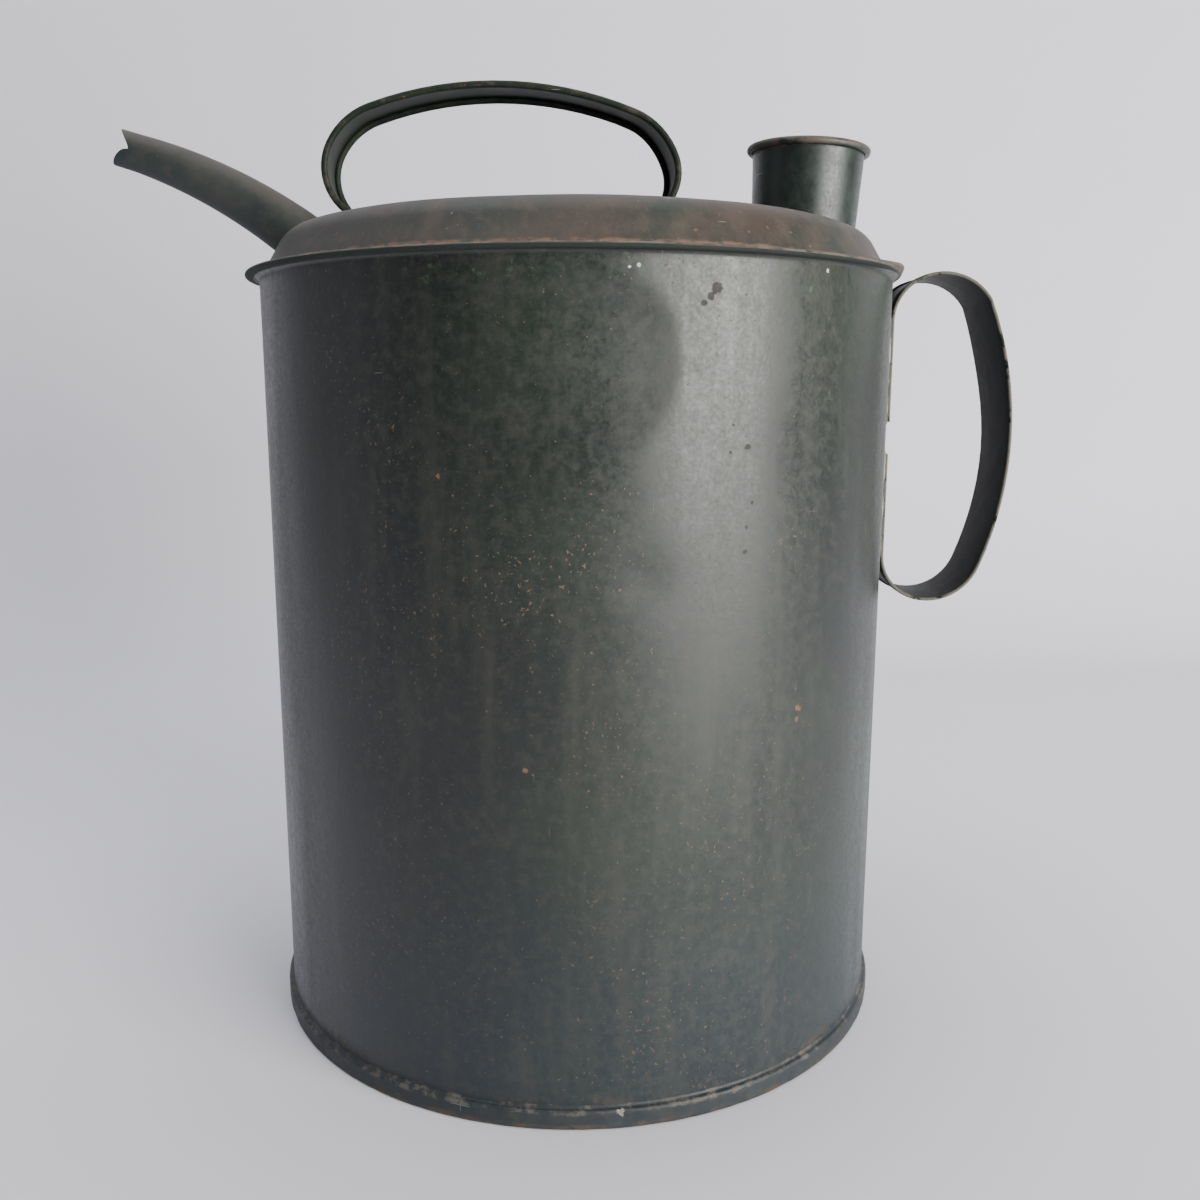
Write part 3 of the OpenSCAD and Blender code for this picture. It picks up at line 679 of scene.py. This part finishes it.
def makeDrum():
    s = drumShape
    bm = spinProfile(drumLine(0) + drumLine(s["sheet"])[::-1], s["turns"], closedProfile=True)
    for v in bm.verts:
        angle = math.degrees(math.atan2(v.co.x, -v.co.y))
        if abs(angle) < s["dented"]:
            flat = Vector((v.co.x, v.co.y, 0)).normalized()
            v.co -= flat * dentDepth(angle, v.co.z)
    bendFlange(bm)
    finishPiece(bm, "drum", "can", drumEnamel, ["body_shell"])
    print("drum made")


# the lock seam up the back: four folds of sheet, pressed flat
lockShape = dict(inside=0.1097, outside=0.1112, low=0.0085, high=0.2553, width=0.006, soften=0.0004,
                 outerEdge=0.111)


def makeLockSeam():
    s = lockShape
    bm = bmesh.new()
    line = [wirePoint(bm, r, z) for r, z in ((s["inside"], s["low"]), (s["outside"], s["low"]),
                                             (s["outside"], s["high"]), (s["inside"], s["high"]))]
    for pair in zip(line, line[1:] + line[:1]):
        bm.edges.new(pair)
    sweep = s["width"] / drumShape["radius"]
    turn = Matrix.Rotation(math.pi / 2 - sweep / 2, 3, "Z")
    bmesh.ops.rotate(bm, verts=bm.verts, cent=(0, 0, 0), matrix=turn)
    bmesh.ops.spin(bm, geom=bm.verts[:] + bm.edges[:], cent=(0, 0, 0), axis=(0, 0, 1), angle=sweep,
                   steps=6, use_merge=False)
    capEnds(bm)
    bmesh.ops.recalc_face_normals(bm, faces=bm.faces)
    upright = [e for e in bm.edges if e.calc_face_angle(0) > 1 and e.verts[0].co.xy.length > s["outerEdge"]]
    bmesh.ops.bevel(bm, geom=upright, offset=s["soften"], segments=2, profile=0.5, affect="EDGES",
                    material=-1)
    finishPiece(bm, "lockSeam", "can", drumEnamel, ["body_shell"])
    print("lock seam made")


# the bottom: a recessed sheet hooked round the wall's foot
panShape = dict(floor=0.006, sheet=0.0006, wall=0.110, hook=0.1118, height=0.0065, edge=0.001, gap=0.0005,
                turns=300)
footKnocks = dict(outside=0.1113, turn=3.2, up=260, seed=1.7, depth=0.00028, nickAngle=6.8, nickWidth=1.1,
                  nickDepth=0.00055, nickLow=(0.0005, 0.003))


def makeBottom():
    s, k = panShape, footKnocks
    t, w = s["sheet"], s["wall"]
    profile = [(0, s["floor"])] + denser([(0, s["floor"]), (w - t, s["floor"])], 0.008)[1:]
    profile += [(w - t, t), (w + 2 * t, t), (w + 2 * t, s["height"] - t), (w + t, s["height"] - t),
                (w + t, 2 * t + s["gap"]), (w, 2 * t + s["gap"]), (w, s["height"])]
    profile += arcPoints(s["hook"] - s["edge"], s["height"] - s["edge"], s["edge"], 90, 0, 5)
    profile += denser([(s["hook"], s["height"] - s["edge"]), (s["hook"], s["edge"])], 0.0011)[1:-1]
    profile += arcPoints(s["hook"] - s["edge"], s["edge"], s["edge"], 0, -90, 5)
    profile += [(w - 2 * t, 0), (w - 2 * t, s["floor"] - t)]
    profile += denser([(w - 2 * t, s["floor"] - t), (0, s["floor"] - t)], 0.008)[1:]
    bm = spinProfile(profile, s["turns"])
    for v in bm.verts:
        if v.co.xy.length > k["outside"]:
            angle = math.degrees(math.atan2(v.co.x, -v.co.y))
            knock = noise.noise(Vector((angle / k["turn"], v.co.z * k["up"], k["seed"])))
            nick = math.exp(-((angle - k["nickAngle"]) / k["nickWidth"]) ** 2)
            inwards = k["depth"] * max(0.0, knock) + k["nickDepth"] * nick * smoothStep(*k["nickLow"], v.co.z)
            v.co -= Vector((v.co.x, v.co.y, 0)).normalized() * inwards
    finishPiece(bm, "bottomPan", "can", seamEnamel, ["bottom_plate"])
    print("bottom made")


# the dome: conical side, round shoulder, low crown, and a flange hemmed round the drum's flange
domeShape = dict(base=0.1086, side=0.0094, draft=30.0, shoulder=0.011, slope=7.0, top=0.260, root=0.0015,
                 sheet=0.0006, rim=0.1146, hem=0.0026, hemBend=0.0009, turns=288)
domeWaves = dict(depth=0.00022, grain=28, lift=0.8, low=0.2615, full=0.266)


def domeCircles():
    # shoulder's centre, crown's radius and centre height, and distance of the root's centre from the axis
    s = domeShape
    draft, slope = math.radians(s["draft"]), math.radians(s["slope"])
    sideTop = (s["base"] - s["side"] * math.tan(draft), s["top"] + s["side"])
    shoulder = (sideTop[0] - s["shoulder"] * math.cos(draft), sideTop[1] - s["shoulder"] * math.sin(draft))
    edge = (shoulder[0] + s["shoulder"] * math.sin(slope), shoulder[1] + s["shoulder"] * math.cos(slope))
    crown = edge[0] / math.sin(slope)
    root = s["base"] - s["root"] * math.tan(draft) + s["root"] / math.cos(draft)
    return shoulder, crown, edge[1] - crown * math.cos(slope), root


def domeHeight(radius):
    # height of the dome's outer face at a distance from the axis
    s = domeShape
    shoulder, crown, crownZ, root = domeCircles()
    if radius < crown * math.sin(math.radians(s["slope"])):
        return crownZ + math.sqrt(crown ** 2 - radius ** 2)
    if radius < shoulder[0] + s["shoulder"] * math.cos(math.radians(s["draft"])):
        return shoulder[1] + math.sqrt(max(0.0, s["shoulder"] ** 2 - (radius - shoulder[0]) ** 2))
    return max(s["top"], s["top"] + (s["base"] - radius) / math.tan(math.radians(s["draft"])))


def domeDrop(place):
    # slight hand-worked unevenness
    w = domeWaves
    uneven = noise.noise(place * w["grain"]) + w["lift"]
    return w["depth"] * uneven * smoothStep(w["low"], w["full"], place.z)


def domeLine(grow):
    # the dome's profile from the axis to its root, moved outwards by grow
    s = domeShape
    shoulder, crown, crownZ, root = domeCircles()
    line = arcPoints(0, crownZ, crown + grow, 90, 90 - s["slope"], 24)
    line += arcPoints(*shoulder, s["shoulder"] + grow, 90 - s["slope"], s["draft"], 16)[1:]
    rootArc = arcPoints(root, s["top"] + s["root"], s["root"] - grow, 180 + s["draft"], 270, 5)
    line += denser([line[-1], rootArc[0]], 0.0015)[1:]
    return line + rootArc[1:]


def cutAway(piece, cutters):
    # takes the cutters' volume out of the piece
    for cutter in cutters:
        step = piece.modifiers.new("cut", "BOOLEAN")
        step.operation = "DIFFERENCE"
        step.solver = "EXACT"
        step.object = cutter
    bpy.context.view_layer.update()
    cut = bpy.data.meshes.new_from_object(piece.evaluated_get(bpy.context.evaluated_depsgraph_get()))
    piece.modifiers.clear()
    old = piece.data
    piece.data = cut
    cut.set_sharp_from_angle(angle=math.radians(40))
    cut.name = piece.name
    bpy.data.meshes.remove(old)
    for cutter in cutters:
        bpy.data.objects.remove(cutter)


def rodCutter(centre, along, low, high, radiusLow, radiusHigh):
    bm = bmesh.new()
    bmesh.ops.create_cone(bm, cap_ends=True, cap_tris=False, segments=96, radius1=radiusLow,
                          radius2=radiusHigh, depth=high - low)
    turn = Vector((0, 0, 1)).rotation_difference(along).to_matrix().to_4x4()
    place = Matrix.Translation(Vector(centre) + Vector(along) * (low + high) / 2)
    bmesh.ops.transform(bm, verts=bm.verts, matrix=place @ turn)
    mesh = bpy.data.meshes.new("cutter")
    bm.to_mesh(mesh)
    bm.free()
    obj = bpy.data.objects.new("cutter", mesh)
    scene.collection.objects.link(obj)
    return obj


# the spout: a tapered tube bent down to the dome, with a pointed and a round lip
spoutShape = dict(reach=0.155, tipZ=0.3035, bend=0.175, tipSlope=16.4, rootSlope=38.0, tipR=0.0063,
                  rootR=0.0095, wall=0.0008, lip=0.0056, upperCurve=1.3, lowerCurve=0.5, sides=64, steps=44,
                  cut=(0.0045, -0.0053), chord=22.8)


def spoutPose(k):
    # centre, direction away from the mouth, and upward direction at a fraction of the spout's length
    s = spoutShape
    tip = math.radians(s["tipSlope"])
    a = math.radians(s["tipSlope"] + (s["rootSlope"] - s["tipSlope"]) * k)
    cx, cz = -s["reach"] - s["bend"] * math.sin(tip), s["tipZ"] - s["bend"] * math.cos(tip)
    centre = Vector((cx + s["bend"] * math.sin(a), 0, cz + s["bend"] * math.cos(a)))
    return centre, Vector((math.cos(a), 0, -math.sin(a))), Vector((math.sin(a), 0, math.cos(a)))


def lipReach(height, radius):
    # how far the lips stand out past the notches: pointed above, round below
    s = spoutShape
    share = min(1.0, abs(height) / radius)
    return s["lip"] * share ** (s["upperCurve"] if height > 0 else s["lowerCurve"])


def makeSpout():
    s = spoutShape
    bm = bmesh.new()
    rootCentre = spoutPose(1)[0]
    cutPoint = rootCentre + Vector((s["cut"][0], 0, s["cut"][1]))
    cutNormal = Vector((math.sin(math.radians(s["chord"])), 0, -math.cos(math.radians(s["chord"]))))
    outer, inner = [], []
    for i in range(s["steps"] + 1):
        k = i / s["steps"]
        centre, down, up = spoutPose(k)
        radius = s["tipR"] + (s["rootR"] - s["tipR"]) * k
        for rings, r in ((outer, radius), (inner, radius - s["wall"])):
            ring = makeCircleRing(bm, s["sides"], centre, down, r)
            for v in ring:
                if i == 0:
                    v.co -= down * lipReach((v.co - centre).dot(up), radius)
                if i == s["steps"]:
                    v.co += down * ((cutPoint - v.co).dot(cutNormal) / down.dot(cutNormal))
            rings.append(ring)
    bridgeRings(bm, outer + inner[::-1])
    finishPiece(bm, "spout", "can", spoutEnamel, ["spout_tube"], 50)
    print("spout made")


# a ragged fillet where a round fitting meets the dome
filletShape = dict(sides=120, search=(-0.04, 0.03), halvings=40, slow=2.2, slowShare=0.28, quick=7,
                   quickShare=0.12, bury=0.0005)


def solderFillet(name, node, centre, along, radiusAt, width, height, seed):
    # built from rings round the fitting: two on the fitting, one between, one on the dome, one inside it
    s = filletShape
    bm = bmesh.new()
    centre, along = Vector(centre), Vector(along)
    rings = [makeCircleRing(bm, s["sides"], centre, along, 0.01) for _ in range(5)]
    for j in range(s["sides"]):
        spoke = (rings[0][j].co - centre).normalized()
        low, high = s["search"]
        for _ in range(s["halvings"]):
            t = (low + high) / 2
            p = centre + spoke * radiusAt(t) + along * t
            if p.z > domeHeight(p.xy.length):
                high = t
            else:
                low = t
        foot = centre + spoke * radiusAt(t) + along * t
        turn = math.tau * j / s["sides"]
        across, ahead = math.cos(turn), math.sin(turn)
        uneven = 1 + s["slowShare"] * noise.noise(Vector((s["slow"] * across, s["slow"] * ahead, seed)))
        uneven += s["quickShare"] * noise.noise(Vector((s["quick"] * across, s["quick"] * ahead, seed + 4)))
        tall, wide = height * uneven, width * uneven

        def onDome(out, lift):
            q = foot + spoke * out
            q.z = domeHeight(q.xy.length)
            q.z += lift - domeDrop(q)
            return q

        rings[0][j].co = foot - spoke * 0.0003 + along * tall
        rings[1][j].co = foot + spoke * 0.0002 + along * tall * 0.85
        rings[2][j].co = (foot + along * tall * 0.3 + onDome(wide * 0.3, 0.0002)) / 2
        rings[3][j].co = onDome(wide, 0.00008)
        rings[4][j].co = onDome(wide * 0.6, -s["bury"])
    bridgeRings(bm, rings)
    finishPiece(bm, name, "can", tintedSolder, [node], 60)


def makeDome():
    s = domeShape
    top, t, rim = s["top"], s["sheet"], s["rim"]
    profile = domeLine(0)
    profile += arcPoints(rim - s["hemBend"], top - s["hemBend"], s["hemBend"], 90, -90, 10)
    profile += [(rim - s["hem"], top - 3 * t), (rim - s["hem"], top - 2 * t), (rim - t, top - 2 * t),
                (rim - t, top - t)]
    profile += domeLine(-t)[::-1]
    bm = spinProfile(profile, s["turns"])
    for v in bm.verts:
        v.co.z -= domeDrop(v.co)
    bendFlange(bm)
    piece = finishPiece(bm, "dome", "can", domePatina, ["top_dome"])
    f, above = fillerShape, 0.002
    neck = rodCutter((f["x"], 0, f["top"]), neckAxis(), -f["length"], above,
                     neckRadius(-f["length"]) + f["sheet"], neckRadius(above) + f["sheet"])
    centre, down = spoutPose(1)[:2]
    holeRadius = spoutShape["rootR"] - 0.0001
    hole = rodCutter(centre, down, -0.03, 0.03, holeRadius, holeRadius)
    cutAway(piece, [neck, hole])
    print("dome made")


def makeSeamBead():
    # solder in the corner between the dome's hem and the drum's flare
    s, t = domeShape, domeShape["sheet"]
    inner, z = s["rim"] - s["hem"], s["top"] - 3 * t
    corner = [(inner, z + t), (inner, z), (drumShape["radius"] + drumShape["flare"], z + t)]
    bm = spinProfile(corner, drumShape["turns"], closedProfile=True)
    bendFlange(bm)
    finishPiece(bm, "seamBead", "can", drumEnamel, ["top_seam_solder"])
    print("seam bead made")


# the filler neck: a tapered tube, its rim rolled outwards and pressed slightly out of round
fillerShape = dict(x=0.0818, top=0.306, lean=2.4, taper=3.0, bore=0.0191, roll=0.0013, sheet=0.0006,
                   length=0.035, squeeze=0.006, leftShare=0.4, squeezed=(-0.03, -0.004))


def neckRadius(z):
    # the neck's inner radius at a height above its rim's top
    return fillerShape["bore"] + (z + fillerShape["roll"]) * math.tan(math.radians(fillerShape["taper"]))


def neckAxis():
    lean = math.radians(fillerShape["lean"])
    return Vector((math.sin(lean), 0, math.cos(lean)))


def tiltedAtFiller(bm):
    place = Matrix.Translation((fillerShape["x"], 0, fillerShape["top"]))
    lean = Matrix.Rotation(math.radians(fillerShape["lean"]), 4, "Y")
    bmesh.ops.transform(bm, verts=bm.verts, matrix=place @ lean)


def makeFillerNeck():
    s = fillerShape
    t, roll = s["sheet"], s["roll"]
    centre = (s["bore"] + roll, -roll)
    outline = denser([(neckRadius(-s["length"]), -s["length"]), (neckRadius(-roll), -roll)], 0.002)
    outline += arcPoints(*centre, roll, 180, -120, 30)[1:]
    outline += arcPoints(*centre, roll - t, -120, 180, 26)
    outside = [(neckRadius(-roll) + t, -roll), (neckRadius(-s["length"]) + t, -s["length"])]
    outline += denser(outside, 0.002)[1:]
    bm = spinProfile(outline, 128, closedProfile=True)
    for v in bm.verts:
        share = 1 if v.co.x > 0 else s["leftShare"]
        v.co.x *= 1 - s["squeeze"] * smoothStep(*s["squeezed"], v.co.z) * share
    tiltedAtFiller(bm)
    finishPiece(bm, "fillerNeck", "can", fillerEnamel, ["filler_neck"])
    print("filler neck made")


# the lid: a shallow tapered pan pushed into the neck
lidShape = dict(inset=0.002, height=0.014, gap=0.0003, curl=0.0014, curlBend=0.0007, curlDrop=0.0012,
                curlGap=0.00025, footBend=0.0008, innerBend=0.0006, sheet=0.0006)


def lidRadius(z):
    return neckRadius(z) - lidShape["gap"]


def makeLid():
    s = lidShape
    top, low, t = -s["inset"], -s["inset"] - s["height"], s["sheet"]
    outTop, outLow, inLow = lidRadius(top), lidRadius(low), lidRadius(low) - t
    profile = denser([(0, low), (outLow - s["footBend"], low)], 0.003)
    profile += arcPoints(outLow - s["footBend"], low + s["footBend"], s["footBend"], -90, 0, 5)
    profile += arcPoints(outTop - s["curlBend"], top - s["curlBend"], s["curlBend"], 0, 180, 10)[1:]
    profile += [(outTop - s["curl"], top - s["curlDrop"]), (outTop - t - s["curlGap"], top - s["curlDrop"])]
    profile += arcPoints(inLow - s["innerBend"], low + t + s["innerBend"], s["innerBend"], 0, -90, 4)
    profile += denser([(inLow - s["innerBend"], low + t), (0, low + t)], 0.003)[1:]
    bm = spinProfile(profile, 128)
    tiltedAtFiller(bm)
    finishPiece(bm, "lidPan", "lid", lidEnamel, ["filler_lid"])
    print("lid made")


# the top handle: a strap with both edges curled round wires, its two feet bent onto the dome's crown
topPath = dict(width=0.024, roll=0.0012, sheet=0.0006, curl=285, anchor=(-0.0808, 0.2819, 142.5),
               arcs=[(0.0185, 80), (0.026, 43), (0.1324, 40.5), (0.026, 48.5), (0.0162, 56.4)],
               footBend=0.006, tab=0.011, wireGap=0.00008)
legTwist = dict(depth=0.0026, across=(0.012, 0.036), up=(0.2805, 0.2865))


def afterTurns(x, z, heading, arcs):
    # the pose at the end of a run of right turns
    for radius, amount in arcs:
        before, after = math.radians(heading), math.radians(heading - amount)
        x += radius * (math.sin(before) - math.sin(after))
        z -= radius * (math.cos(before) - math.cos(after))
        heading -= amount
    return x, z, heading


def footOnCrown(x, z, heading, side):
    # straight leg that brings a foot's bend onto the crown, the crown's lean there, and the bend's centre
    crown, crownZ = domeCircles()[1:3]
    reach = crown + topPath["footBend"]
    h = math.radians(heading)
    cx = x + side * topPath["footBend"] * math.sin(h)
    cz = z - side * topPath["footBend"] * math.cos(h) - crownZ
    along = cx * math.cos(h) + cz * math.sin(h)
    leg = -along - math.sqrt(along ** 2 - cx ** 2 - cz ** 2 + reach ** 2)
    cx += leg * math.cos(h)
    cz += leg * math.sin(h) + crownZ
    return leg, math.degrees(math.asin(cx / reach)), cx, cz


def strapPath():
    # where the strap starts, at the tip of its spout-side foot, and its straights and bends from there
    bend, tab = topPath["footBend"], topPath["tab"]
    x, z, heading = topPath["anchor"]
    end = afterTurns(x, z, heading, topPath["arcs"])
    leg, lean, cx, cz = footOnCrown(x, z, heading + 180, -1)
    endLeg, endLean = footOnCrown(*end, 1)[:2]
    down, out = math.cos(math.radians(lean)), math.sin(math.radians(lean))
    start = (cx - bend * out + tab * down, cz - bend * down - tab * out, 180 - lean)
    path = [(0, tab), (bend, 180 - lean - heading), (0, leg)] + topPath["arcs"]
    return start, path + [(0, endLeg), (bend, end[2] + 180 + endLean), (0, tab)]


def twistLeg(bm):
    # the back edge of the filler-side leg was bent inwards by hand
    for v in bm.verts:
        share = smoothStep(*legTwist["across"], v.co.x) * smoothStep(*legTwist["up"], v.co.z)
        v.co.x -= legTwist["depth"] * share * (v.co.y / topPath["width"] + 0.5)


def makeTopHandle():
    s = topPath
    across, roll = s["width"] / 2 - s["roll"], s["roll"]
    edge = arcPoints(-roll, across, roll, 0, s["curl"], 20)
    edge += arcPoints(-roll, across, roll - s["sheet"], s["curl"], 0, 14)
    outline = edge + [(u, -v) for u, v in edge[::-1]]
    start, path = strapPath()
    bm = sweepStrip(outline, start, path)
    capEnds(bm)
    twistLeg(bm)
    finishPiece(bm, "topStrap", "can", topHandleEnamel, ["top_handle_strap"])
    wireRadius = roll - s["sheet"] - s["wireGap"]
    for name, node, side in (("frontWire", "top_handle_wire_front", -1),
                             ("backWire", "top_handle_wire_back", 1)):
        bm = sweepStrip(arcPoints(-roll, side * across, wireRadius, 0, 337.5, 15), start, path)
        capEnds(bm)
        twistLeg(bm)
        finishPiece(bm, name, "can", wornWire, [node])
    print("top handle made")


# the side handle: a strip with both edges folded back on its outer face, bent into a closed loop
sidePath = dict(start=(0.1109, 0.2108, 90), half=0.014, hem=0.005, sheet=0.0006,
                path=[(0, 0.0352), (0.016, 65), (0.020, 78.8), (0.006, 13.3), (0.124, 44.8), (0.0194, 89.3),
                      (0.0163, 68.8), (0, 0.0366)],
                corner=(0.139, 0.234), middle=(0.124, 0.203), pull=0.0022, pullWidth=0.024)


def makeSideHandle():
    s = sidePath
    t, y = s["sheet"], s["half"]
    h = y - s["hem"]
    fold = arcPoints(0, -y + t, t, 180, 360, 8)
    halfOutline = fold + [(t, -h - 0.0002), (t * 0.6, -h), (t * 0.05, -h), (0, -h + 0.0001)]
    outline = halfOutline + [(u, -v) for u, v in halfOutline[::-1]]
    bm = sweepStrip(outline, s["start"], s["path"])
    capEnds(bm)
    # the upper corner has been pulled in, most of all at its back edge
    for v in bm.verts:
        far = math.hypot(v.co.x - s["corner"][0], v.co.z - s["corner"][1]) / s["pullWidth"]
        pull = s["pull"] * math.exp(-far * far) * smoothStep(-y, y, v.co.y)
        towards = Vector((s["middle"][0] - v.co.x, 0, s["middle"][1] - v.co.z)).normalized()
        v.co += towards * pull
    finishPiece(bm, "sideStrap", "can", sideHandleEnamel, ["side_handle_strap"])
    print("side handle made")


makeDrum()
makeLockSeam()
makeBottom()
makeSpout()
makeDome()
makeSeamBead()
makeFillerNeck()
makeLid()
makeTopHandle()
makeSideHandle()
spoutCentre, spoutDown = spoutPose(1)[:2]
solderFillet("spoutFillet", "spout_solder", spoutCentre, -spoutDown,
             lambda t: spoutShape["rootR"] - t * 0.045, 0.0022, 0.0019, 2.0)
solderFillet("fillerFillet", "filler_solder", (fillerShape["x"], 0, fillerShape["top"]), neckAxis(),
             lambda t: neckRadius(t) + fillerShape["sheet"], 0.0015, 0.0012, 9.0)
print("solder fillets made")

# the hidden wires, solder runs and lid fittings are drawn as they come from the frame
cadLooks = {"side_seam_solder": drumEnamel, "bottom_seam_solder": seamEnamel,
            "side_handle_solder_upper": tintedSolder, "side_handle_solder_lower": tintedSolder,
            "top_handle_solder_spout_end": tintedSolder, "top_handle_solder_filler_end": tintedSolder,
            "filler_rim_wire": wornWire, "lid_ring_clip": wornWire, "lid_pull_ring": wornWire}
for node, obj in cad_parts.items():
    obj.material_slots[0].material = cadLooks.get(node, softSolder)
